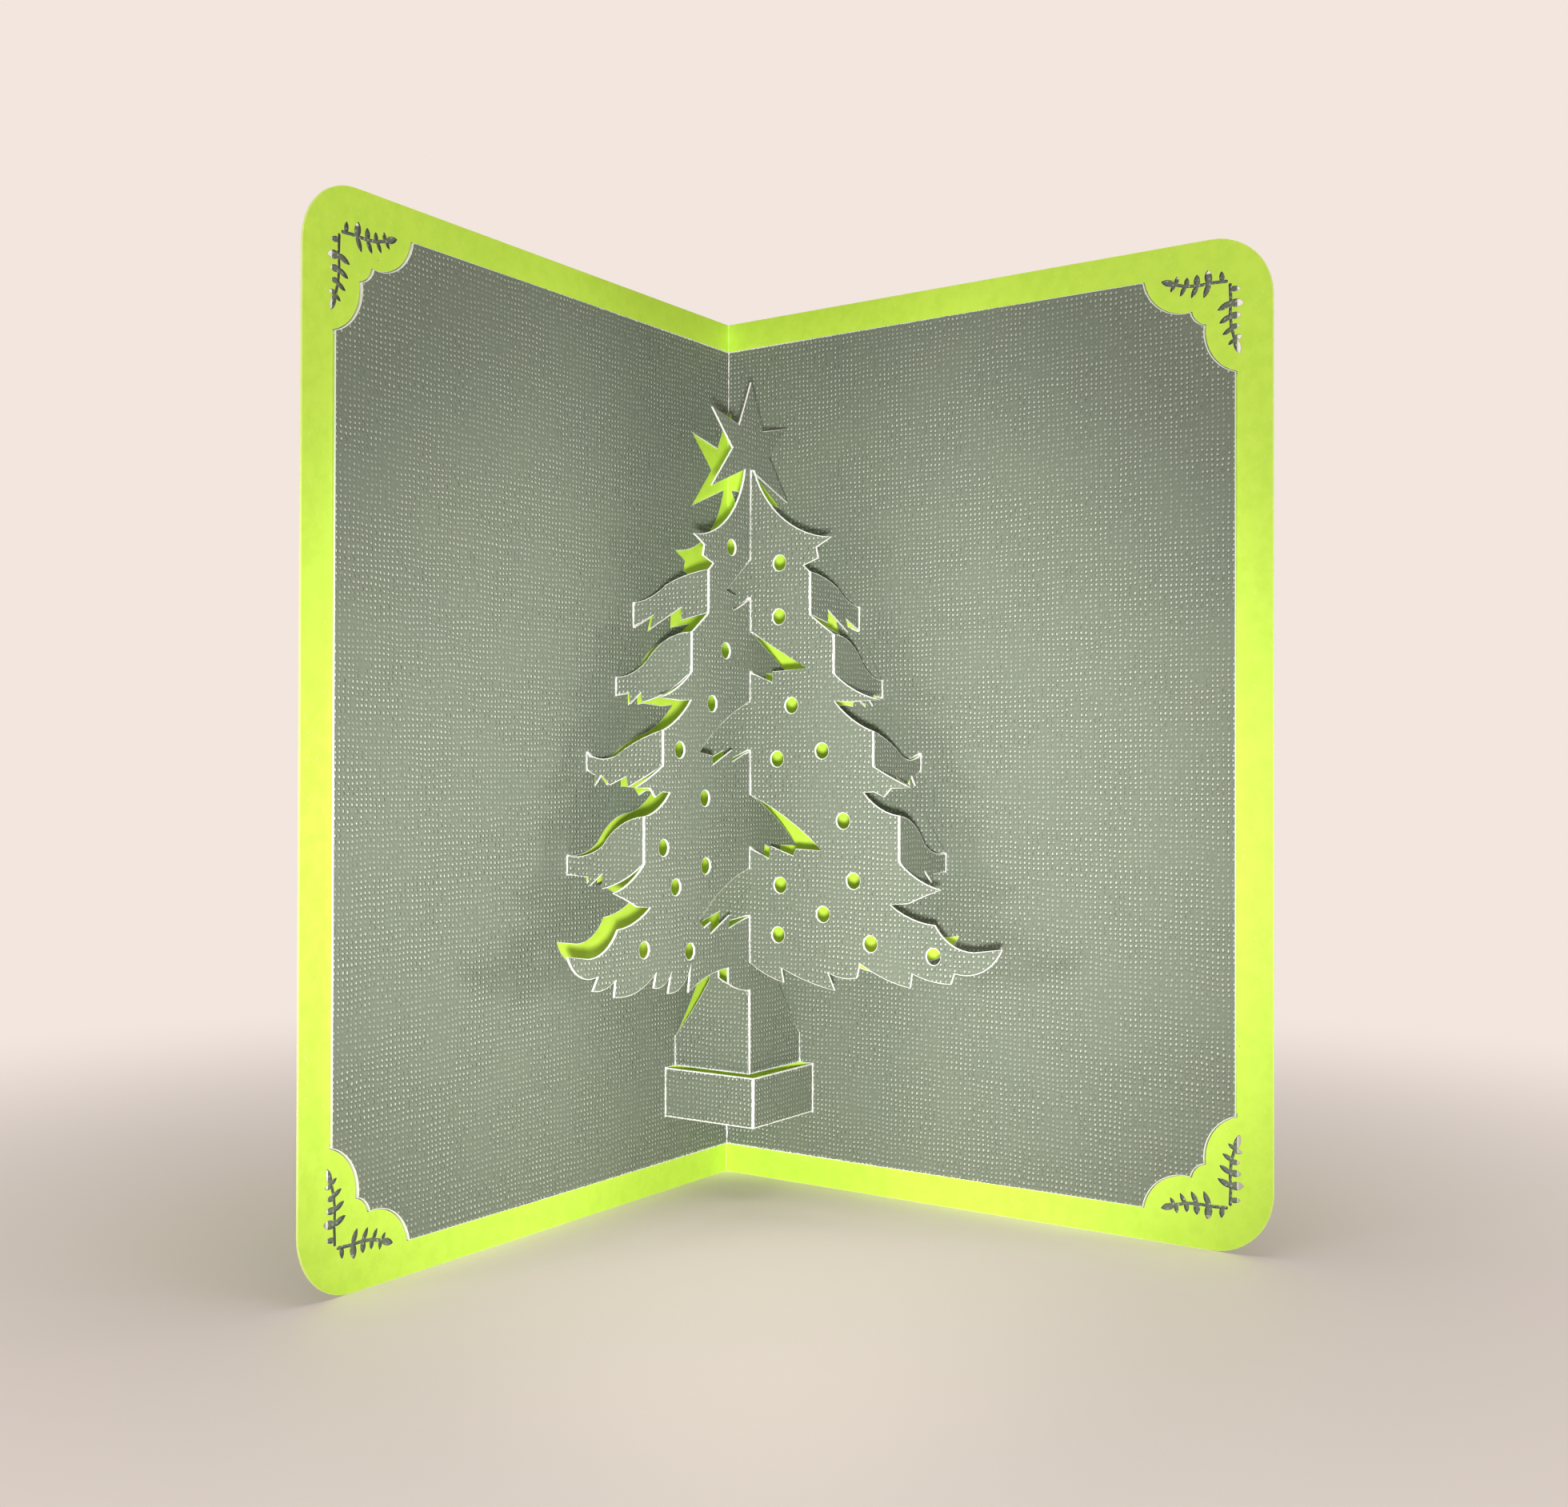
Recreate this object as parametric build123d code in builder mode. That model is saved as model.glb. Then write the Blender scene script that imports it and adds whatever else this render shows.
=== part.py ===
from build123d import *
import os
from math import cos, radians, sin, tan

# A greeting card that stands open on its bottom edges, with a fir tree that
# rises from its fold. Millimetres and degrees, +Z up, the card opens to -Y.

# Backing card
card_height = 152.0
leaf_width = 102.0
opening_angle = 86.0
card_thickness = 0.35
corner_radius = 9.7

# Tree sheet, held in front of the backing card by its four corners
sheet_thickness = 0.35
side_margin = 5.7
end_margin = 5.0
sheet_clearance = 0.05
slit_clearance = 0.1

# Pop-up: how far the boughs, the trunk and the pot stand off each leaf
tree_depth = 16.0
pot_overhang = 2.8
bauble_diameter = 2.6

# The cut pattern is drawn for a card of this size and scaled to fit another
drawn_width = 102.0
drawn_height = 152.0
art = min(leaf_width / drawn_width, card_height / drawn_height)

# Pattern heights above the card's foot, and distances from the fold
pot_bottom = 12.8
pot_top = 21.1
trunk_side_top = 26.0
trunk_ridge_top = 35.1
hem_height = 39.9
tree_top = 122.0
star_top = 136.8
neck_left = 1.7
neck_right = 0.8
hem_tip = (48.2, 44.7)
bough_folds = (12.3, 17.0, 24.7, 29.6)

# Edges are lists of corners; a pair of points is an arc, (through, to).
# Silhouette of either half, from its first bough down to the hem tip
silhouette = (
    ((4.9, 115.2), (16.6, 109.7)),
    (13.6, 108.2),
    (14.0, 106.4),
    (11.0, 105.4),
    (bough_folds[0], 104.3),
    (bough_folds[0], 97.3),
    ((14.9, 95.4), (bough_folds[1], 93.9)),
    (bough_folds[1], 87.6),
    ((20.9, 84.9), (25.9, 83.1)),
    (20.6, 82.8),
    (17.2, 83.0),
    ((19.9, 80.6), (bough_folds[2], 78.1)),
    (bough_folds[2], 72.5),
    ((28.3, 70.7), (31.8, 69.1)),
    (28.2, 69.0),
    (26.8, 67.6),
    (24.9, 68.4),
    (22.9, 68.3),
    ((25.7, 66.0), (bough_folds[3], 64.7)),
    (bough_folds[3], 57.4),
    ((33.0, 54.9), (37.4, 53.3)),
    (34.4, 52.2),
    (31.4, 50.9),
    (28.0, 50.6),
    ((32.0, 48.6), (36.3, 47.8)),
    ((39.3, 44.9), (43.3, 44.0)),
    hem_tip,
)
# Ragged bottom edge of each half, from the hem tip in to the trunk
hem_left = (
    ((46.0, 41.9), (41.0, 41.2)),
    (42.3, 39.1),
    ((39.0, 39.2), (36.7, 40.3)),
    (37.1, 37.7),
    ((31.5, 37.9), (26.4, 40.5)),
    (27.1, 38.1),
    ((24.2, 38.4), (22.4, 40.2)),
    (23.3, 36.9),
    ((19.2, 37.9), (17.1, 41.0)),
    (17.8, 36.5),
    ((13.5, 38.3), (8.4, 39.3)),
    (0.0, hem_height),
)
hem_right = (
    ((46.2, 42.0), (39.8, 40.5)),
    (39.2, 38.8),
    ((35.6, 39.0), (32.1, 40.0)),
    (31.8, 37.7),
    ((27.3, 38.7), (22.3, 41.0)),
    (21.7, 38.6),
    ((18.6, 38.4), (16.0, 39.2)),
    (17.4, 36.3),
    ((12.4, 37.3), (6.7, 39.3)),
    (7.2, 36.9),
    ((3.8, 37.9), (0.0, hem_height)),
)
# Boughs that run back to the leaf: share of the depth, height
boughs = (
    (
        (0.0, 104.3),
        ((0.3, 103.6), (0.55, 102.3)),
        ((0.75, 100.5), (1.0, 99.7)),
        (1.0, 95.6),
        (0.71, 97.5),
        (0.76, 95.2),
        (0.34, 98.5),
        (0.35, 96.3),
        (0.0, 97.3),
    ),
    (
        (0.0, 93.9),
        ((0.3, 93.0), (0.52, 90.6)),
        ((0.7, 88.2), (1.0, 87.1)),
        (1.0, 84.1),
        (0.81, 84.5),
        (0.8, 82.6),
        (0.65, 84.5),
        (0.64, 82.8),
        (0.55, 83.1),
        ((0.24, 84.9), (0.0, 87.6)),
    ),
    (
        (0.0, 78.1),
        ((0.35, 76.2), (0.6, 74.1)),
        ((0.78, 73.6), (1.0, 74.7)),
        (1.0, 71.8),
        (0.87, 71.0),
        (0.88, 69.3),
        (0.79, 71.0),
        (0.68, 69.4),
        (0.46, 70.8),
        (0.44, 69.1),
        ((0.22, 70.7), (0.0, 72.5)),
    ),
    (
        (0.0, 64.7),
        ((0.33, 62.9), (0.52, 60.0)),
        ((0.7, 58.6), (1.0, 58.3)),
        (1.0, 55.2),
        (0.71, 55.0),
        (0.69, 53.6),
        (0.52, 55.7),
        (0.53, 53.2),
        ((0.23, 54.9), (0.0, 57.4)),
    ),
)
# Boughs that cross the middle and stand out behind the other half
tips_from_left = (
    (
        (0.0, 95.0),
        (0.74, 88.5),
        (0.3, 88.2),
        (0.3, 86.4),
        (0.0, 88.3),
    ),
    (
        (0.0, 67.8),
        ((0.5, 63.8), (0.93, 58.8)),
        (0.6, 59.0),
        (0.57, 57.8),
        (0.28, 59.3),
        (0.26, 57.2),
        (0.0, 59.0),
    ),
)
tips_from_right = (
    (
        (0.0, 107.1),
        (0.46, 101.3),
        (0.28, 100.6),
        (0.34, 98.1),
        ((0.2, 99.0), (0.0, 100.7)),
    ),
    (
        (0.0, 83.3),
        ((0.45, 80.2), (0.93, 74.7)),
        (0.7, 74.2),
        (0.7, 72.6),
        (0.34, 75.2),
        (0.34, 73.2),
        (0.0, 75.2),
    ),
    (
        (0.0, 55.5),
        ((0.49, 52.6), (0.93, 47.5)),
        (0.84, 46.5),
        (0.72, 47.3),
        (0.73, 45.3),
        (0.38, 48.1),
        (0.4, 45.9),
        (0.0, 47.6),
    ),
)
star = (
    (0.0, star_top),
    (3.6, 129.1),
    (11.5, 130.8),
    (5.5, 125.0),
    (11.6, 118.0),
    (neck_left, tree_top),
    (0.0, tree_top),
    (-11.6, 118.0),
    (-5.5, 125.0),
    (-11.5, 130.8),
    (-3.6, 129.1),
)
# Trunk flank, from under the hem out to the leaf: share of the depth, height
flap_reach = 0.4
trunk_neck = 0.52
trunk_flank = (
    (trunk_neck, 36.3),
    ((0.76, 30.7), (1.0, trunk_side_top)),
    (1.0, pot_top),
    (0.0, pot_top),
)
trunk_left = (
    (0.0, trunk_ridge_top),
    ((0.21, 35.6), (flap_reach, 36.8)),
    (flap_reach, 39.5),
    (trunk_neck, 39.3),
    *trunk_flank,
)
trunk_right = (
    (0.0, hem_height),
    ((0.24, 37.9), (0.45, 36.9)),
    (0.42, 39.2),
    (trunk_neck, 38.4),
    *trunk_flank,
)
# Flap that ties the right side of the trunk to the left half of the tree
flap = (
    (0.0, hem_height),
    (flap_reach, 40.4),
    (flap_reach, 36.8),
    ((0.21, 35.6), (0.0, trunk_ridge_top)),
)
baubles_left = (
    (5.8, 108.5),
    (7.4, 91.4),
    (11.3, 82.6),
    (20.3, 75.0),
    (13.3, 67.3),
    (24.6, 59.7),
    (13.0, 56.4),
    (21.3, 53.4),
    (29.6, 44.2),
    (17.4, 43.0),
)
baubles_right = (
    (6.2, 106.1),
    (6.1, 97.2),
    (8.7, 82.5),
    (5.8, 73.7),
    (14.8, 75.0),
    (19.0, 63.7),
    (6.5, 52.9),
    (21.0, 54.1),
    (15.1, 48.5),
    (6.1, 44.7),
    (24.3, 44.2),
    (36.0, 42.9),
)

# Corner mounts, measured in from the side edge and from the end edge
lobe_centre = (13.8, 3.7)
lobe_radius = 7.0
bump_centre = (10.0, 10.0)
bump_radius = 2.95
sprig_stem = ((7.3, 6.7), (9.6, 6.6), (11.8, 6.7), (13.8, 6.5), (15.6, 6.0), (17.4, 5.3))
stem_width = 0.45
# Each leaflet: foot on the stem, tip, width
sprig_leaflets = (
    ((9.8, 6.2), (10.9, 8.7), 0.9),
    ((11.8, 6.4), (12.9, 8.4), 0.8),
    ((13.7, 6.1), (14.7, 7.9), 0.7),
    ((15.4, 5.7), (16.3, 7.0), 0.6),
    ((10.0, 6.9), (10.3, 4.6), 1.2),
    ((12.0, 7.0), (12.0, 5.0), 1.0),
    ((13.7, 6.8), (13.6, 5.2), 0.8),
    ((15.4, 6.3), (15.2, 4.8), 0.7),
    ((7.9, 6.9), (8.1, 5.1), 0.8),
    ((15.4, 6.0), (17.8, 5.2), 1.0),
)

half_angle = radians(opening_angle / 2)
left = Vector(-sin(half_angle), -cos(half_angle), 0)
right = Vector(sin(half_angle), -cos(half_angle), 0)
behind_left = Vector(-cos(half_angle), sin(half_angle), 0)
behind_right = Vector(cos(half_angle), sin(half_angle), 0)
upward = Vector(0, 0, 1)

# The card's box is centred on the origin, so its fold lies well behind it
fold_back = card_thickness / 2
fold_front = leaf_width * cos(half_angle) + card_thickness / 2 * sin(half_angle)
card_fold = Vector(0, (fold_front - fold_back) / 2, 0)
layer_step = (card_thickness + sheet_thickness) / 2 + sheet_clearance
sheet_fold = card_fold - Vector(0, layer_step / sin(half_angle), 0)
# A leaf of the sheet, being nearer the front, starts this much further in
sheet_shift = layer_step / tan(half_angle)
sheet_reach = leaf_width - side_margin - sheet_shift
crest = sheet_fold + (left + right) * tree_depth
pot_depth = tree_depth + pot_overhang


def on_art(point):
    return (point[0] * art, point[1] * art)


def on_depth(point):
    return (point[0] * tree_depth, point[1] * art)


def bough_place(fold_at):
    return lambda point: (fold_at * art + point[0] * tree_depth, point[1] * art)


def outline(corners, place=on_art):
    """Closed face through corners, where a pair of points is an arc."""
    with BuildSketch() as face:
        with BuildLine():
            start = place(corners[0])
            here = start
            for corner in corners[1:]:
                if isinstance(corner[0], tuple):
                    through, there = place(corner[0]), place(corner[1])
                    ThreePointArc(here, through, there)
                else:
                    there = place(corner)
                    Line(here, there)
                here = there
            Line(here, start)
        make_face()
    return face.sketch


def flipped(shape):
    return mirror(shape, about=Plane.YZ)


def half_tree(neck, hem, baubles, crossing):
    """One half as drawn, away from the crest, with its holes."""
    edge = ((0.0, tree_top), (neck, tree_top), *silhouette, *hem)
    with BuildSketch() as half:
        add(outline(edge))
        for tip in crossing:
            add(outline(tip, on_depth), mode=Mode.SUBTRACT)
        with Locations(*[on_art(place) for place in baubles]):
            Circle(bauble_diameter / 2, mode=Mode.SUBTRACT)
    return half.sketch


def window(neck, hem, *trunk_pieces):
    """The hole that the pop-up leaves in one leaf of the sheet."""
    edge = ((0.0, tree_top), (neck, tree_top), *silhouette, *hem)
    with BuildSketch() as hole:
        add(outline(edge))
        add(outline(star))
        for piece in trunk_pieces:
            add(outline(piece, on_depth))
        for fold_at, bough in zip(bough_folds, boughs):
            add(outline(bough, bough_place(fold_at)))
        with BuildLine():
            Polyline(
                (0, pot_bottom * art),
                (pot_depth, pot_bottom * art),
                (pot_depth, pot_top * art),
                (0, pot_top * art),
                close=True,
            )
        make_face()
        with Locations((0, card_height / 2)):
            Rectangle(leaf_width, card_height, align=(Align.MAX, Align.CENTER), mode=Mode.SUBTRACT)
    return hole.sketch


def scallop(grow=0.0):
    """Corner that lies outside the slit, grown by a given amount."""
    outside = -lobe_radius
    with BuildSketch() as corner:
        with Locations(lobe_centre, lobe_centre[::-1]):
            Circle(lobe_radius + grow)
        with Locations(bump_centre):
            Circle(bump_radius + grow)
        with BuildLine():
            Polyline(
                (outside, outside),
                (lobe_centre[0], outside),
                lobe_centre,
                bump_centre,
                lobe_centre[::-1],
                (outside, lobe_centre[0]),
                close=True,
            )
        make_face()
    return corner.sketch


def sprig():
    """One branch of the cut-out and its twin across the corner's diagonal."""
    with BuildSketch() as branch:
        for start, end in zip(sprig_stem, sprig_stem[1:]):
            with BuildLine():
                Line(start, end)
            trace(line_width=stem_width)
        with Locations(*sprig_stem):
            Circle(stem_width / 2)
        for foot, tip, width in sprig_leaflets:
            with BuildLine():
                SagittaArc(foot, tip, width / 2)
                SagittaArc(tip, foot, width / 2)
            make_face()
    diagonal = Plane(origin=(0, 0, 0), x_dir=(1, 1, 0), z_dir=(1, -1, 0))
    return branch.sketch + mirror(branch.sketch, about=diagonal)


def at_corners(shape, reach):
    """The same shape at the lower and the upper outer corner of a leaf."""
    low = Pos(reach, 0) * flipped(shape)
    high = Pos(reach, card_height) * Rot(0, 0, 180) * shape
    return low + high


def upright(origin, direction):
    """Upright plane through origin: x runs along direction, y is up."""
    return Plane(origin=origin, x_dir=direction, z_dir=direction.cross(upward))


# Flat pieces of the pattern
left_half = half_tree(neck_left, hem_left, baubles_left, tips_from_right)
right_half = half_tree(neck_right, hem_right, baubles_right, tips_from_left)
left_window = window(neck_left, hem_left, trunk_left, flap)
right_window = window(neck_right, hem_right, trunk_right)

# The left half runs on past the crest into its crossing tips and the trunk
with BuildSketch() as front_left:
    add(left_half)
    add(outline(star))
    add(outline(flap, on_depth))
    add(flipped(outline(trunk_right, on_depth)))
    for tip in tips_from_left:
        add(flipped(outline(tip, on_depth)))

with BuildSketch() as front_right:
    add(right_half)
    add(flipped(outline(trunk_left, on_depth)))
    for tip in tips_from_right:
        add(flipped(outline(tip, on_depth)))

# Corner shapes in one leaf of the card and of the sheet
sheet_edge = leaf_width - sheet_shift
tucked = at_corners(scallop(), sheet_edge)
tucked_wide = at_corners(scallop(sheet_thickness), sheet_edge)
slit_outer = at_corners(scallop(sheet_thickness + slit_clearance), leaf_width)
slit_inner = at_corners(scallop(-slit_clearance), leaf_width)
sprigs = at_corners(sprig(), leaf_width)

with BuildSketch() as sheet_leaf:
    with Locations((0, card_height / 2)):
        Rectangle(sheet_reach, card_height - 2 * end_margin, align=(Align.MIN, Align.CENTER))

with BuildSketch() as slit:
    with Locations((0, card_height / 2)):
        Rectangle(
            leaf_width - side_margin + slit_clearance,
            card_height - 2 * (end_margin - slit_clearance),
            align=(Align.MIN, Align.CENTER),
        )
    add(slit_outer, mode=Mode.INTERSECT)
    add(slit_inner, mode=Mode.SUBTRACT)

with BuildSketch() as card_leaf:
    with Locations((0, card_height / 2)):
        Rectangle(leaf_width, card_height, align=(Align.MIN, Align.CENTER))
    fillet(card_leaf.vertices().group_by(Axis.X)[-1], corner_radius)
    add(slit.sketch, mode=Mode.SUBTRACT)
    add(sprigs, mode=Mode.SUBTRACT)

with BuildPart() as backing_card:
    for direction in (left, right):
        with BuildSketch(upright(card_fold, direction)):
            add(card_leaf.sketch)
        extrude(amount=card_thickness / 2, both=True)
    with Locations(card_fold):
        Cylinder(card_thickness / 2, card_height, align=(Align.CENTER, Align.CENTER, Align.MIN))

# Every fold of the sheet: where it stands, its foot and its top
spine_folds = [
    (sheet_fold, end_margin, pot_bottom * art),
    (sheet_fold, star_top * art, card_height - end_margin),
]
crest_stops = [tree_top, 107.1, 100.7, 95.0, 88.3, 83.3, 75.2, 67.8, 59.0, 55.5, 47.6, hem_height]
crest_folds = [
    (crest, low * art, high * art) for high, low in zip(crest_stops[0::2], crest_stops[1::2])
]
trunk_folds = [(crest, pot_top * art, trunk_ridge_top * art)]
pot_folds = [(sheet_fold + (left + right) * pot_depth, pot_bottom * art, pot_top * art)]
for direction in (left, right):
    trunk_folds.append((sheet_fold + direction * tree_depth, pot_top * art, trunk_side_top * art))
    pot_folds.append((sheet_fold + direction * pot_depth, pot_bottom * art, pot_top * art))
bough_lines = []
for direction in (left, right):
    for fold_at, bough in zip(bough_folds, boughs):
        inner = crest + direction * (fold_at * art)
        outer = sheet_fold + direction * (fold_at * art + tree_depth)
        inner_foot = bough[-1][-1]
        if isinstance(inner_foot, tuple):
            inner_foot = inner_foot[-1]
        bough_lines.append((inner, inner_foot * art, bough[0][1] * art))
        bough_lines.append((outer, bough[3][1] * art, bough[2][1][1] * art))

with BuildPart() as tree_sheet:
    # Leaves, with the pop-up's window cut out and the corners tucked behind
    for direction, behind, hole in (
        (left, behind_left, left_window),
        (right, behind_right, right_window),
    ):
        with BuildSketch(upright(sheet_fold, direction)):
            add(sheet_leaf.sketch)
            add(tucked, mode=Mode.SUBTRACT)
            add(hole, mode=Mode.SUBTRACT)
        extrude(amount=sheet_thickness / 2, both=True)
        with BuildSketch(upright(sheet_fold + behind * (2 * layer_step), direction)):
            add(sheet_leaf.sketch)
            add(tucked_wide, mode=Mode.INTERSECT)
        extrude(amount=sheet_thickness / 2, both=True)
        with BuildSketch(upright(sheet_fold + behind * layer_step, direction)):
            add(sheet_leaf.sketch)
            add(tucked_wide, mode=Mode.INTERSECT)
            add(tucked, mode=Mode.SUBTRACT)
        extrude(amount=layer_step + sheet_thickness / 2, both=True)
    # Tree halves, each with its crossing tips and one side of the trunk
    for direction, shape in ((left, front_left.sketch), (right, front_right.sketch)):
        with BuildSketch(upright(crest, direction)):
            add(shape)
        extrude(amount=sheet_thickness / 2, both=True)
    # Boughs back to the leaves, and the two sides of the pot
    for direction, across in ((left, right), (right, left)):
        for fold_at, bough in zip(bough_folds, boughs):
            with BuildSketch(upright(crest + direction * (fold_at * art), -across)):
                add(outline(bough, on_depth))
            extrude(amount=sheet_thickness / 2, both=True)
        with BuildSketch(upright(sheet_fold + direction * pot_depth, across)):
            with Locations((pot_depth / 2, (pot_bottom + pot_top) / 2 * art)):
                Rectangle(pot_depth, (pot_top - pot_bottom) * art)
        extrude(amount=sheet_thickness / 2, both=True)
    for place, low, high in spine_folds + crest_folds + trunk_folds + pot_folds + bough_lines:
        with Locations(place + upward * low):
            Cylinder(sheet_thickness / 2, high - low, align=(Align.CENTER, Align.CENTER, Align.MIN))

backing_card.part.label = "backing_card"
tree_sheet.part.label = "tree_sheet"
os.makedirs("parts", exist_ok=True)
export_step(backing_card.part, "parts/backing_card.step")
export_step(tree_sheet.part, "parts/tree_sheet.step")
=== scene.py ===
import math

import bmesh
import bpy
from mathutils import Matrix, Vector
from mathutils.bvhtree import BVHTree


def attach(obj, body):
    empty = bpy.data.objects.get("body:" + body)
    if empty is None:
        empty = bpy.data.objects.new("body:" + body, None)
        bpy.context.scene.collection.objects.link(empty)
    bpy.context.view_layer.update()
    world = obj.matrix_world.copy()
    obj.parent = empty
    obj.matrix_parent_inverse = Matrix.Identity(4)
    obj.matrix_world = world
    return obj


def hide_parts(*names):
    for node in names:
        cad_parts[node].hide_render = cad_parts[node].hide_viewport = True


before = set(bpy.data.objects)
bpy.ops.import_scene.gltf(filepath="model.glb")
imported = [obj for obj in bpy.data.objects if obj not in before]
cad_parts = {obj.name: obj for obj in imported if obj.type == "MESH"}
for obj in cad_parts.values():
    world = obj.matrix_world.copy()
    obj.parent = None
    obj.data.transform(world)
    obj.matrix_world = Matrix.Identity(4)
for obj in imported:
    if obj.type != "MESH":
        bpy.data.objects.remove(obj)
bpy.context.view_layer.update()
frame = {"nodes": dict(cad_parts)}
print("frame loaded")

# How the card stands, in metres and degrees. Both sheets fold on upright lines.
stance = {
    "openingAngle": 86.0,
    "cardFold": 0.037272,  # how far back the card's own fold stands
    "sheetFold": 0.036686,
    "cardHeight": 0.152,
    "sheetThickness": 0.00035,
    "treeDepth": 0.016,
    "potDepth": 0.0188,
}

halfAngle = math.radians(stance["openingAngle"] / 2)
leftWay = Vector((-math.sin(halfAngle), -math.cos(halfAngle), 0.0))  # along the left leaf, outwards
rightWay = Vector((math.sin(halfAngle), -math.cos(halfAngle), 0.0))
leftFacing = Vector((math.cos(halfAngle), -math.sin(halfAngle), 0.0))  # the inside of the left leaf
rightFacing = Vector((-math.cos(halfAngle), -math.sin(halfAngle), 0.0))
cardFold = Vector((0.0, stance["cardFold"], 0.0))
sheetFold = Vector((0.0, stance["sheetFold"], 0.0))
crest = sheetFold + (leftWay + rightWay) * stance["treeDepth"]
potRidge = sheetFold + (leftWay + rightWay) * stance["potDepth"]

# Folds of the tree sheet: the foot and top of each stretch, in millimetres above the table
folds = {
    "spine": ((5.0, 12.8), (136.8, 147.0)),
    "crest": ((107.1, 122.0), (95.0, 100.7), (83.3, 88.3), (67.8, 75.2), (55.5, 59.0), (39.9, 47.6)),
    "trunkRidge": ((21.1, 35.1),),
    "trunkSide": ((21.1, 26.0),),
    "pot": ((12.8, 21.1),),
    # each bough: distance of its fold from the crest, fold at the tree, fold at the leaf
    "boughs": (
        (12.3, (97.3, 104.3), (95.6, 99.7)),
        (17.0, (87.6, 93.9), (84.1, 87.1)),
        (24.7, (72.5, 78.1), (71.8, 74.7)),
        (29.6, (57.4, 64.7), (55.2, 58.3)),
    ),
    "treeWear": 0.45,  # where the boughs leave the tree, against 1 at the other folds
}


def foldLines():
    # every fold of the tree sheet: foot, top, the way its two faces run from it, and how worn it is
    lines = []

    def addFold(place, spans, wayA, wayB, wearAndHighlight=1.0):
        for low, high in spans:
            foot = place + Vector((0.0, 0.0, low / 1000))
            lines.append((foot, place + Vector((0.0, 0.0, high / 1000)), wayA, wayB, wearAndHighlight))

    addFold(sheetFold, folds["spine"], leftWay, rightWay)
    addFold(crest, folds["crest"], leftWay, rightWay)
    addFold(crest, folds["trunkRidge"], -leftWay, -rightWay)
    addFold(potRidge, folds["pot"], -leftWay, -rightWay)
    for way, across in ((leftWay, rightWay), (rightWay, leftWay)):
        addFold(sheetFold + way * stance["treeDepth"], folds["trunkSide"], across, way)
        addFold(sheetFold + way * stance["potDepth"], folds["pot"], across, way)
        for reach, inner, outer in folds["boughs"]:
            treeFold = crest + way * (reach / 1000)
            addFold(treeFold, (inner,), -way, -across, folds["treeWear"])
            addFold(treeFold - across * stance["treeDepth"], (outer,), across, way)
    return lines


def placed(name, data):
    # a new object in the scene
    made = bpy.data.objects.new(name, data)
    bpy.context.scene.collection.objects.link(made)
    return made


class Wire:
    # one socket that can stand in a sum
    def __init__(self, recipe, socket):
        self.recipe = recipe
        self.socket = socket

    def __add__(self, other):
        return self.recipe.sum("ADD", self, other)

    def __sub__(self, other):
        return self.recipe.sum("SUBTRACT", self, other)

    def __rsub__(self, other):
        return self.recipe.sum("SUBTRACT", other, self)

    def __mul__(self, other):
        return self.recipe.sum("MULTIPLY", self, other)

    def __truediv__(self, other):
        return self.recipe.sum("DIVIDE", self, other)

    def __pow__(self, other):
        return self.recipe.sum("POWER", self, other)

    __radd__ = __add__
    __rmul__ = __mul__


class Recipe:
    # a material and the nodes that make it
    def __init__(self, name):
        self.material = bpy.data.materials.new(name)
        self.material.use_nodes = True
        self.tree = self.material.node_tree
        self.tree.nodes.clear()

    def node(self, kind, settings=None, sockets=None, output=0):
        made = self.tree.nodes.new(kind)
        for key, value in (settings or {}).items():
            setattr(made, key, value)
        for key, value in (sockets or {}).items():
            if isinstance(value, Wire):
                self.tree.links.new(value.socket, made.inputs[key])
            else:
                made.inputs[key].default_value = value
        return Wire(self, made.outputs[output])

    def sum(self, operation, first, second):
        return self.node("ShaderNodeMath", {"operation": operation}, {0: first, 1: second})

    def floor(self, value):
        return self.node("ShaderNodeMath", {"operation": "FLOOR"}, {0: value})

    def step(self, value, low, high):
        # smooth rise from 0 at low to 1 at high
        settings = {"interpolation_type": "SMOOTHSTEP"}
        return self.node("ShaderNodeMapRange", settings, {"Value": value, "From Min": low, "From Max": high})

    def blend(self, factor, first, second):
        return self.node("ShaderNodeMix", {"data_type": "RGBA"}, {0: factor, 6: first, 7: second}, 2)

    def scaled(self, vector, sizes):
        return self.node("ShaderNodeVectorMath", {"operation": "MULTIPLY"}, {0: vector, 1: sizes})

    def vector(self, x, y, z):
        return self.node("ShaderNodeCombineXYZ", None, {0: x, 1: y, 2: z})

    def parts(self, vector):
        outputs = self.node("ShaderNodeSeparateXYZ", None, {0: vector}).socket.node.outputs
        return [Wire(self, outputs[index]) for index in range(3)]

    def noise(self, vector, scale, detail, roughness=0.5):
        sockets = {"Vector": vector, "Scale": scale, "Detail": detail, "Roughness": roughness}
        return self.node("ShaderNodeTexNoise", None, sockets)

    def chance(self, vector):
        return self.node("ShaderNodeTexWhiteNoise", {"noise_dimensions": "3D"}, {"Vector": vector})

    def attribute(self, name):
        settings = {"attribute_type": "GEOMETRY", "attribute_name": name}
        return self.node("ShaderNodeAttribute", settings, None, 2)

    def objectPlace(self):
        return self.node("ShaderNodeTexCoord", None, None, 3)

    def surface(self, colour, roughness, relief=None, shine=0.5):
        sockets = {"Base Color": colour, "Roughness": roughness, "Specular IOR Level": shine}
        if relief is not None:
            sockets["Normal"] = self.node("ShaderNodeBump", None, {"Height": relief, "Distance": 1.0})
        return self.node("ShaderNodeBsdfPrincipled", None, sockets)

    def finish(self, shader):
        output = self.tree.nodes.new("ShaderNodeOutputMaterial")
        self.tree.links.new(shader.socket, output.inputs[0])
        return self.material


def distance(x, y):
    return (x * x + y * y) ** 0.5


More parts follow.
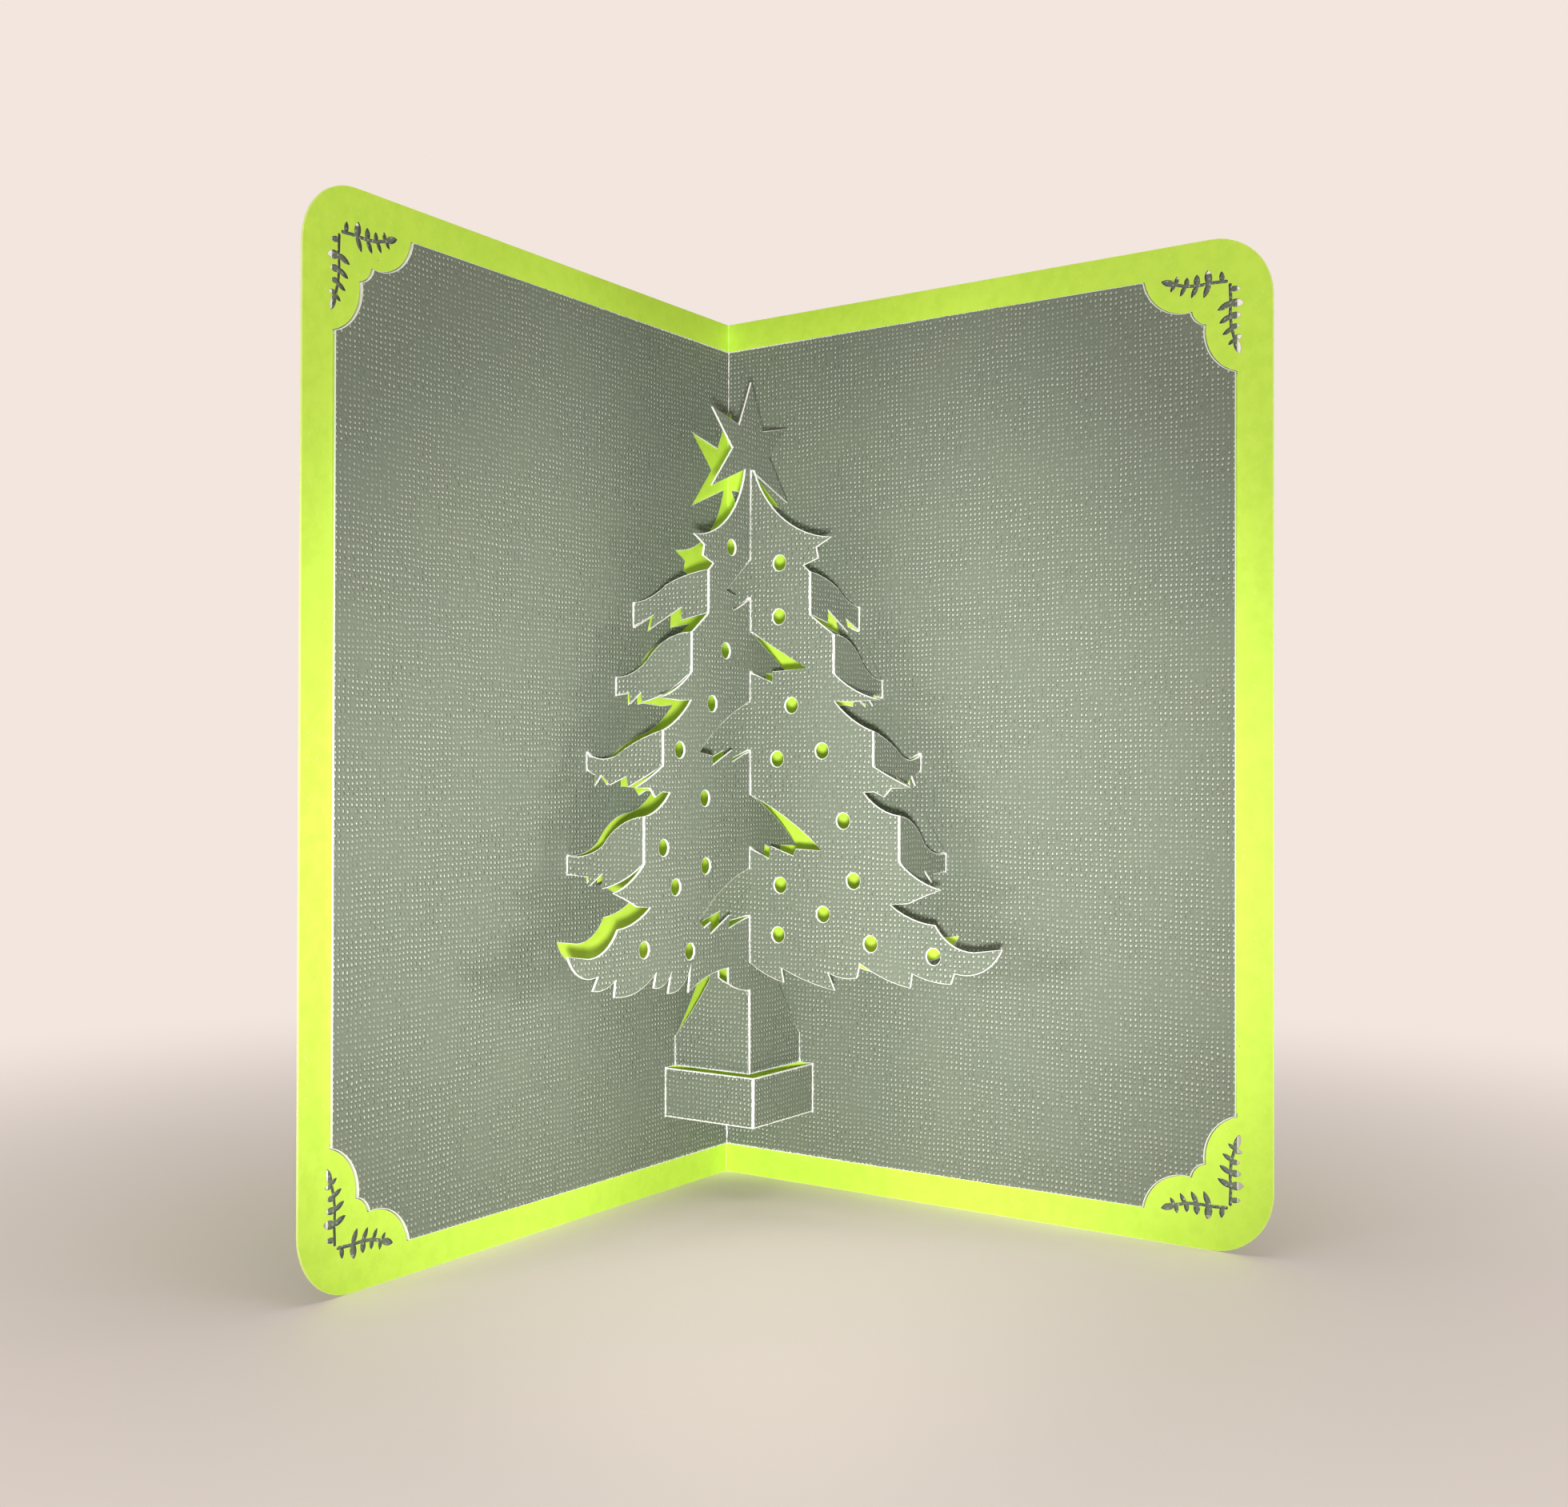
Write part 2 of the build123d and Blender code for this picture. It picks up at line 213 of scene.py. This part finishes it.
# Grey-green card, embossed like canvas, with a white core. Sizes are in metres.
sageLook = {
    "face": (0.178, 0.220, 0.172, 1.0),
    "faceWarm": (0.203, 0.230, 0.172, 1.0),
    # painted shadow beside and below each dot
    "paintedDotShadow": (0.085, 0.105, 0.075, 1.0),
    "paintedDotShadowShare": 0.5,
    # painted highlight on the top of each dot
    "wearAndHighlight": (0.80, 0.83, 0.74, 1.0),
    "paintedHighlightShare": 0.7,
    "core": (0.93, 0.94, 0.90, 1.0),
    "coreShade": (0.34, 0.37, 0.30, 1.0),
    "dotAcross": 0.00084,
    "dotUp": 0.00081,
    "columnSway": 0.55,  # how far the columns and rows of dots wander, in dots
    "rowSway": 0.9,
    "relief": 0.00018,
    "roughness": 0.62,
    "shine": 0.35,
    "rims": (0.00013, 0.00027),
    "roll": 0.00004,
}


def embossing(kit, flat):
    # how high the card stands, where a painted highlight lies on its dots and where a painted shadow lies
    # beside them, from a grid of dots
    look = sageLook
    across, up, _ = kit.parts(flat)
    drift = kit.noise(flat, 260.0, 0.0)
    sway = kit.noise(kit.scaled(flat, (1.0, 1.7, 1.0)), 190.0, 0.0)
    column = across / look["dotAcross"] + (drift - 0.5) * look["columnSway"]
    row = up / look["dotUp"] + (sway - 0.5) * look["rowSway"]
    cellX, cellY = kit.floor(column), kit.floor(row)
    lotA = kit.chance(kit.vector(cellX, cellY, 0.0))
    lotB = kit.chance(kit.vector(cellX, cellY, 7.0))
    # each dot stands a little off its cell's middle, and its painted shadow lies beside and below it
    offX = column - cellX - 0.5 + (lotB - 0.5) * 0.12
    offY = (row - cellY - 0.5) * 0.86 + (lotA - 0.5) * 0.1
    fromDot = distance(offX, offY)
    fromPaintedDotShadow = distance(offX - 0.18, offY + 0.24)
    # some dots and some patches of the card are pressed harder
    patchy = kit.step(kit.noise(flat, 95.0, 1.0), 0.34, 0.6)
    force = kit.step(lotA, -0.05, 0.25) * (0.5 + 0.5 * patchy)
    raised = force * kit.step(lotB, -0.1, 0.4)
    height = (1.0 - kit.step(fromDot, 0.05, 0.4)) * force
    # painted highlight on the top of each raised dot
    paintedHighlight = (1.0 - kit.step(fromDot, 0.09, 0.28)) * raised
    # painted shadow beside and below each raised dot
    paintedDotShadow = (1.0 - kit.step(fromPaintedDotShadow, 0.16, 0.34)) * (0.3 + 0.7 * raised)
    return height, paintedHighlight, paintedDotShadow


def sageCardstock():
    look = sageLook
    kit = Recipe("sageCardstock")
    place = kit.objectPlace()
    height, paintedHighlight, paintedDotShadow = embossing(kit, kit.node("ShaderNodeUVMap", {"uv_map": "flatPattern"}))
    grain = kit.noise(place, 4200.0, 1.0, 0.6)
    face = kit.blend(kit.noise(place, 60.0, 3.0, 0.55), look["face"], look["faceWarm"])
    # painted shadow beside each dot
    face = kit.blend(paintedDotShadow * look["paintedDotShadowShare"], face, look["paintedDotShadow"])
    # painted highlight on each dot's top
    face = kit.blend(paintedHighlight * look["paintedHighlightShare"], face, look["wearAndHighlight"])

    # the core shows clean along the cuts and ragged along the folds
    rim = kit.attribute("rim")
    fold = kit.attribute("fold")
    streak = kit.noise(kit.scaled(place, (1.0, 1.0, 0.3)), 4200.0, 2.0, 0.65)
    cut = kit.step(rim - 0.12 * grain, 0.5, 0.58)
    ragged = kit.step(rim - (streak - 0.5) * 2.0 + fold * 0.8, 0.95, 1.05) * kit.step(rim, 0.02, 0.08)
    onFold = kit.step(fold, 0.15, 0.35)
    bare = cut * (1.0 - onFold) + ragged * onFold
    core = kit.blend(kit.step(streak, 0.6, 0.72) * fold, look["core"], look["coreShade"])

    relief = (height * (1.0 - rim) + 0.1 * grain) * look["relief"]
    return kit.finish(kit.surface(kit.blend(bare, face, core), look["roughness"], relief, look["shine"]))


# Bright lime card, smooth, with flecks from its pulp. Sizes are in metres.
limeLook = {
    "face": (0.62, 0.90, 0.085, 1.0),
    "faceDeep": (0.56, 0.85, 0.07, 1.0),
    "edge": (0.80, 0.96, 0.30, 1.0),
    # painted shade on the walls of narrow cuts
    "slit": (0.16, 0.20, 0.10, 1.0),
    "paleFleck": (0.86, 0.95, 0.55, 1.0),
    "darkFleck": (0.20, 0.34, 0.02, 1.0),
    # flecks: their spacing, their size as a share of it, and the share of places that hold one
    "paleFlecks": (0.0016, 0.09, 0.16),
    "faintFlecks": (0.0011, 0.2, 0.3),
    "darkFlecks": (0.0026, 0.055, 0.16),
    "relief": 0.00004,
    "roughness": 0.55,
    "shine": 0.4,
    "rims": (0.00008, 0.00012),
    "roll": 0.00003,
}


def flecks(kit, place, sizes, lot):
    # small round spots; the cell's first, second or third lot decides whether it holds one
    spacing, size, share = sizes
    sockets = {"Vector": place, "Scale": 1.0 / spacing, "Randomness": 1.0}
    cell = kit.node("ShaderNodeTexVoronoi", {"feature": "F1"}, sockets)
    lots = kit.parts(Wire(kit, cell.socket.node.outputs["Color"]))
    spot = 1.0 - kit.step(cell, size * 0.4, size)
    return spot * kit.step(lots[lot], 1.0 - share, 1.0 - share + 0.02)


def limeCardstock():
    look = limeLook
    kit = Recipe("limeCardstock")
    place = kit.objectPlace()
    mottle = kit.noise(place, 420.0, 3.0, 0.6)
    cloud = kit.noise(place, 45.0, 1.0)
    grain = kit.noise(place, 4800.0, 1.0, 0.6)
    pale = flecks(kit, place, look["paleFlecks"], 0)
    faint = flecks(kit, place, look["faintFlecks"], 1)
    dark = flecks(kit, place, look["darkFlecks"], 2)
    face = kit.blend(kit.step(mottle, 0.35, 0.7), look["face"], look["faceDeep"])
    face = kit.blend(kit.step(cloud, 0.3, 0.7) * 0.25, face, look["faceDeep"])
    face = kit.blend(faint * 0.28, face, look["paleFleck"])
    face = kit.blend(dark * 0.8, face, look["darkFleck"])
    face = kit.blend(pale * 0.85, face, look["paleFleck"])

    # paler at its cuts and along its crease, with painted shade inside the narrow cuts
    rim = kit.attribute("rim")
    fold = kit.attribute("fold")
    streak = kit.noise(kit.scaled(place, (1.0, 1.0, 0.3)), 3600.0, 3.0, 0.65)
    cut = kit.step(rim, 0.5, 0.62) * (1.0 - fold)
    creased = kit.step(rim - (streak - 0.5) * 1.3, 0.25, 0.75) * fold
    face = kit.blend(cut, face, look["edge"])
    face = kit.blend(kit.step(kit.attribute("slit"), 0.45, 0.6), face, look["slit"])
    face = kit.blend(creased * 0.7, face, look["paleFleck"])

    relief = (0.3 * grain + 0.25 * mottle + pale * 1.3 - dark * 0.8 + creased * streak) * look["relief"]
    return kit.finish(kit.surface(face, look["roughness"], relief, look["shine"]))


# White fibres that stand up where the sheet is scored and folded, in metres
fibreLook = {
    "colour": (0.9, 0.9, 0.87, 1.0),
    "shade": (0.62, 0.64, 0.58, 1.0),
    "roughness": 0.8,
    "relief": 0.00001,
    "spacing": 0.00022,
    "length": 0.00062,
    "width": 0.00005,
    "spread": 0.00026,
    "seed": 11,
    # least and most: lean across the fold and out of the face in radians, then shares of width and length
    "leans": (-0.22, 0.22),
    "lifts": (-0.1, 0.1),
    "widths": (0.5, 1.6),
    "lengths": (0.3, 1.3),
    "flatness": 0.55,
}


def fibreCore():
    look = fibreLook
    kit = Recipe("fibreCore")
    grain = kit.noise(kit.objectPlace(), 3800.0, 3.0, 0.6)
    colour = kit.blend(kit.step(grain, 0.35, 0.7), look["colour"], look["shade"])
    return kit.finish(kit.surface(colour, look["roughness"], grain * look["relief"]))


# How both sheets' meshes are read and marked, in metres
marking = {
    "mergeWithin": 0.000001,
    "flatWithin": 0.99995,  # how squarely a face must look along a leaf's own facing
    "foldReach": 0.0011,
    # a cut this narrow or less gets painted shade on its walls
    "narrowCut": 0.0017,
    "rayStart": 0.00002,  # how far off a cut's wall the look across it starts
}


def addRims(shape, rim, side, widths):
    # two thin borders inside the outline of every flat: the rim value falls from 1 to a half, then to 0
    for number, facing in ((1, leftFacing), (2, rightFacing)):
        for face in shape.faces:
            if abs(face.normal.dot(facing)) > marking["flatWithin"]:
                face[side] = number
        for width, height, after in zip(widths, (1.0, 0.5), (0.5, 0.0)):
            flats = [face for face in shape.faces if face[side] == number]
            inner = [face for face in flats if all(vert[rim] == height for vert in face.verts)]
            border = bmesh.ops.inset_region(
                shape,
                faces=inner,
                use_boundary=True,
                use_even_offset=False,
                thickness=width,
            )
            for face in border["faces"]:
                face[side] = number
            for face in inner:
                for vert in face.verts:
                    vert[rim] = after


def nearFold(point, lines, reach):
    # how worn the fold beside this point is, or 0 away from the folds
    for foot, top, _, _, wearAndHighlight in lines:
        if math.hypot(point.x - foot.x, point.y - foot.y) < reach:
            if foot.z - 0.0001 <= point.z <= top.z + 0.0001:
                return wearAndHighlight
    return 0.0


def rollEdges(shape, rim, fold, side, depth):
    # the knife rolls both faces in a little at every cut
    shape.normal_update()
    for vert in shape.verts:
        if vert[rim] == 1.0 and vert[fold] == 0.0:
            push = Vector((0.0, 0.0, 0.0))
            for face in vert.link_faces:
                if face[side]:
                    push = face.normal.copy()
            vert.co -= push * depth


def markNarrowCuts(shape, side, slit):
    # the walls of a cut whose other side is close by get painted shade
    shape.faces.ensure_lookup_table()
    near = BVHTree.FromBMesh(shape)
    for face in shape.faces:
        if not face[side]:
            start = face.calc_center_median() + face.normal * marking["rayStart"]
            if near.ray_cast(start, face.normal, marking["narrowCut"])[0] is not None:
                for vert in face.verts:
                    vert[slit] = 1.0


def layFlat(shape, side):
    # how far out along its leaf each corner is, and its height, as on the flat sheet
    flatMap = shape.loops.layers.uv.new("flatPattern")
    for face in shape.faces:
        way = leftWay if face[side] == 1 else rightWay
        for loop in face.loops:
            point = loop.vert.co - crest
            loop[flatMap].uv = (point.dot(way), point.z)


def paperPiece(node, name, material, lines, look):
    shape = bmesh.new()
    shape.from_mesh(node.data)
    bmesh.ops.remove_doubles(shape, verts=shape.verts, dist=marking["mergeWithin"])
    shape.normal_update()
    rim = shape.verts.layers.float.new("rim")
    fold = shape.verts.layers.float.new("fold")
    slit = shape.verts.layers.float.new("slit")
    side = shape.faces.layers.int.new("side")
    for vert in shape.verts:
        vert[rim] = 1.0
    addRims(shape, rim, side, look["rims"])
    for vert in shape.verts:
        vert[fold] = nearFold(vert.co, lines, marking["foldReach"])
    rollEdges(shape, rim, fold, side, look["roll"])
    markNarrowCuts(shape, side, slit)
    layFlat(shape, side)
    bmesh.ops.triangulate(shape, faces=[face for face in shape.faces if len(face.verts) > 4])
    mesh = bpy.data.meshes.new(name)
    shape.to_mesh(mesh)
    shape.free()
    mesh.materials.append(material)
    for polygon in mesh.polygons:
        polygon.material_index = 0
    print(name, "faces", len(mesh.polygons))
    return placed(name, mesh)


treeLines = foldLines()
cardTop = cardFold + Vector((0.0, 0.0, stance["cardHeight"]))
cardLines = [(cardFold, cardTop, leftWay, rightWay, 1.0)]
nodes = frame["nodes"]
limeCard = paperPiece(nodes["backing_card"], "limeCard", limeCardstock(), cardLines, limeLook)
treeSheet = paperPiece(nodes["tree_sheet"], "treeSheet", sageCardstock(), treeLines, sageLook)
print("sheets made")


def foldRails(name, lines):
    # an edge on each face that meets a worn fold, on the side of the sheet that opens to the front
    half = stance["sheetThickness"] / 2
    corners, edges, across, lift = [], [], [], []
    for foot, top, wayA, wayB, wearAndHighlight in lines:
        if wearAndHighlight < 1.0:
            continue
        valley = (wayA + wayB).y < 0
        # inside a valley the two faces meet a little out from the fold's own line
        gap = half / math.tan(halfAngle) if valley else 0.0
        for way, other in ((wayA, wayB), (wayB, wayA)):
            normal = Vector((-way.y, way.x, 0.0))
            if (normal.dot(other) < 0) == valley:
                normal = -normal
            for end in (foot, top):
                corners.append(end + normal * half + way * gap)
                across.append(way)
                lift.append(normal)
            edges.append((len(corners) - 2, len(corners) - 1))
    mesh = bpy.data.meshes.new(name)
    mesh.from_pydata(corners, edges, [])
    for key, values in (("across", across), ("lift", lift)):
        attribute = mesh.attributes.new(key, "FLOAT_VECTOR", "POINT")
        for item, value in zip(attribute.data, values):
            item.vector = value
    return placed(name, mesh)


def fibreTree(material):
    # thin fibres strewn along every rail
    look = fibreLook
    tree = bpy.data.node_groups.new("foldFibres", "GeometryNodeTree")
    interface = tree.interface
    interface.new_socket("Geometry", in_out="INPUT", socket_type="NodeSocketGeometry")
    interface.new_socket("Geometry", in_out="OUTPUT", socket_type="NodeSocketGeometry")
    for name in ("Spacing", "Length", "Width", "Spread"):
        interface.new_socket(name, in_out="INPUT", socket_type="NodeSocketFloat")
    interface.new_socket("Seed", in_out="INPUT", socket_type="NodeSocketInt")

    def make(kind, settings=None, sockets=None):
        node = tree.nodes.new(kind)
        for key, value in (settings or {}).items():
            setattr(node, key, value)
        for key, value in (sockets or {}).items():
            if isinstance(value, bpy.types.NodeSocket):
                tree.links.new(value, node.inputs[key])
            else:
                node.inputs[key].default_value = value
        return node

    def maths(operation, first, second):
        return make("ShaderNodeMath", {"operation": operation}, {0: first, 1: second}).outputs[0]

    def random(span, shift):
        seed = maths("ADD", source["Seed"], shift)
        sockets = {2: span[0], 3: span[1], 8: seed}
        return make("FunctionNodeRandomValue", {"data_type": "FLOAT"}, sockets).outputs[1]

    def named(name):
        settings = {"data_type": "FLOAT_VECTOR"}
        return make("GeometryNodeInputNamedAttribute", settings, {0: name}).outputs[0]

    source = tree.nodes.new("NodeGroupInput").outputs
    curve = make("GeometryNodeMeshToCurve", None, {0: source["Geometry"]}).outputs[0]
    spacing = {0: curve, "Length": source["Spacing"]}
    points = make("GeometryNodeCurveToPoints", {"mode": "LENGTH"}, spacing).outputs[0]

    # most fibres stand close to the fold
    near = maths("MULTIPLY", random((0.0, 1.0), 1), random((0.0, 1.0), 2))
    aside = {0: named("across"), "Scale": maths("MULTIPLY", near, source["Spread"])}
    offset = make("ShaderNodeVectorMath", {"operation": "SCALE"}, aside).outputs[0]
    spots = make("GeometryNodeSetPosition", None, {0: points, "Offset": offset}).outputs[0]

    # they stand along the fold, and lean across it and a little out of the face
    settings = {"axis": "X", "pivot_axis": "Z"}
    facing = make("FunctionNodeAlignRotationToVector", settings, {"Vector": named("lift")}).outputs[0]
    tilt = make("ShaderNodeCombineXYZ", None, {0: random(look["leans"], 3), 1: random(look["lifts"], 4)})
    lean = make("FunctionNodeEulerToRotation", None, {0: tilt.outputs[0]}).outputs[0]
    turned = make("FunctionNodeRotateRotation", {"rotation_space": "LOCAL"}, {0: facing, 1: lean}).outputs[0]
    width = maths("MULTIPLY", source["Width"], random(look["widths"], 5))
    length = maths("MULTIPLY", source["Length"], random(look["lengths"], 6))
    thin = maths("MULTIPLY", width, look["flatness"])
    size = make("ShaderNodeCombineXYZ", None, {0: thin, 1: width, 2: length}).outputs[0]

    fibre = make("GeometryNodeMeshIcoSphere", None, {"Radius": 0.5, "Subdivisions": 1}).outputs[0]
    strewn = {"Points": spots, "Instance": fibre, "Rotation": turned, "Scale": size}
    instances = make("GeometryNodeInstanceOnPoints", None, strewn).outputs[0]
    real = make("GeometryNodeRealizeInstances", None, {0: instances}).outputs[0]
    dressed = make("GeometryNodeSetMaterial", None, {0: real, "Material": material}).outputs[0]
    tree.links.new(dressed, tree.nodes.new("NodeGroupOutput").inputs[0])
    return tree


def foldFibres(lines):
    rails = foldRails("foldRails", lines)
    tree = fibreTree(fibreCore())
    modifier = rails.modifiers.new("fibres", "NODES")
    modifier.node_group = tree
    for item in tree.interface.items_tree:
        if item.in_out == "INPUT" and item.name.lower() in fibreLook:
            modifier[item.identifier] = fibreLook[item.name.lower()]
    bpy.context.view_layer.update()
    grown = rails.evaluated_get(bpy.context.evaluated_depsgraph_get())
    mesh = bpy.data.meshes.new_from_object(grown)
    mesh.name = "foldFibres"
    rails.modifiers.clear()
    bpy.data.objects.remove(rails)
    print("fold fibres, faces", len(mesh.polygons))
    return placed("foldFibres", mesh)


fibres = foldFibres(treeLines)

for piece, node, slot in (
    (limeCard, "backing_card", "lime_cardstock"),
    (treeSheet, "tree_sheet", "sage_cardstock"),
):
    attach(piece, "root")
    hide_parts(node)
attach(fibres, "root")


studio = {
    "table": (0.85, 0.745, 0.67, 1.0),
    "tableShade": (0.72, 0.67, 0.62, 1.0),
    "tableShadeShare": 0.12,
    "tableRoughness": 0.6,
    "tableReach": 30.0,
    "backdrop": (0.86, 0.76, 0.71, 1.0),
    "backdropGlow": 1.04,
    "airStrength": 0.1,
    "sweepStart": 0.0,
    "sweepEnd": 0.3,
    "skyPlace": (0.0, -0.12, 0.75),
    "skySize": 0.5,
    "skyPower": 2.7,
    "aim": (0.0, 0.0, 0.06),
    # place, size of the source, power, width of its cone in degrees, colour
    "lamps": {
        "frontLamp": ((-0.0525, -0.29, 0.054), 0.012, 0.7, 110.0, (1.0, 0.985, 0.95)),
        "treeLamp": ((-0.0525, -0.29, 0.054), 0.012, 4.2, 40.0, (1.0, 0.985, 0.95)),
        "rightLamp": ((0.46, -0.225, 0.085), 0.12, 2.7, 46.0, (1.0, 0.98, 0.95)),
        "leftLamp": ((-0.46, -0.225, 0.085), 0.12, 2.7, 46.0, (1.0, 0.98, 0.95)),
    },
}


def tableTop():
    # a matt table near the card that turns into the glowing backdrop away from it
    kit = Recipe("tableTop")
    place = kit.objectPlace()
    across, away, _ = kit.parts(place)
    cloud = kit.step(kit.noise(place, 3.0, 2.0), 0.2, 0.8) * studio["tableShadeShare"]
    matt = kit.surface(kit.blend(cloud, studio["table"], studio["tableShade"]), studio["tableRoughness"])
    glow = kit.node("ShaderNodeEmission", None, {0: studio["backdrop"], 1: studio["backdropGlow"]})
    far = kit.step(distance(across, away), studio["sweepStart"], studio["sweepEnd"])
    kit.finish(kit.node("ShaderNodeMixShader", None, {0: far, 1: matt, 2: glow}))
    reach = studio["tableReach"]
    mesh = bpy.data.meshes.new("table")
    corners = [(-reach, -reach, 0), (reach, -reach, 0), (reach, reach, 0), (-reach, reach, 0)]
    mesh.from_pydata(corners, [], [(0, 1, 2, 3)])
    mesh.materials.append(kit.material)
    placed("table", mesh)


def studioLight():
    for name, (place, size, power, cone, colour) in studio["lamps"].items():
        data = bpy.data.lights.new(name, "SPOT")
        data.shadow_soft_size = size / 2
        data.energy = power
        data.color = colour
        data.spot_size = math.radians(cone)
        data.spot_blend = 1.0
        lamp = placed(name, data)
        lamp.location = place
        aim = Vector(studio["aim"]) - Vector(place)
        lamp.rotation_euler = aim.to_track_quat("-Z", "Y").to_euler()
    data = bpy.data.lights.new("skyPanel", "AREA")
    data.size = studio["skySize"]
    data.energy = studio["skyPower"]
    placed("skyPanel", data).location = studio["skyPlace"]


def studioAir():
    # the backdrop looks brighter than the light it gives
    world = bpy.data.worlds.new("air")
    world.use_nodes = True
    nodes, links = world.node_tree.nodes, world.node_tree.links
    background = nodes["Background"]
    background.inputs["Color"].default_value = studio["backdrop"]
    seen = nodes.new("ShaderNodeLightPath")
    level = nodes.new("ShaderNodeMix")
    level.inputs[2].default_value = studio["airStrength"]
    level.inputs[3].default_value = studio["backdropGlow"]
    links.new(seen.outputs["Is Camera Ray"], level.inputs[0])
    links.new(level.outputs[0], background.inputs["Strength"])
    bpy.context.scene.world = world
    bpy.context.scene.view_settings.view_transform = "Standard"


# Where the camera stands, in metres, and how it is turned, in degrees
view = {
    "place": (-0.05245, -0.29, 0.0717),
    "turn": -10.88,
    "lean": 90.55,
    "roll": 0.13,
    "lens": 42.28,
    "sensor": 36.0,
}


def addCamera():
    data = bpy.data.cameras.new("camera")
    data.lens = view["lens"]
    data.sensor_width = view["sensor"]
    data.clip_start = 0.01
    data.dof.use_dof = False
    camera = placed("camera", data)
    turn = Matrix.Rotation(math.radians(view["turn"]), 4, "Z")
    lean = Matrix.Rotation(math.radians(view["lean"]), 4, "X")
    roll = Matrix.Rotation(math.radians(view["roll"]), 4, "Z")
    camera.matrix_world = Matrix.Translation(view["place"]) @ turn @ lean @ roll
    bpy.context.scene.camera = camera


tableTop()
studioLight()
studioAir()
addCamera()
print("studio made")
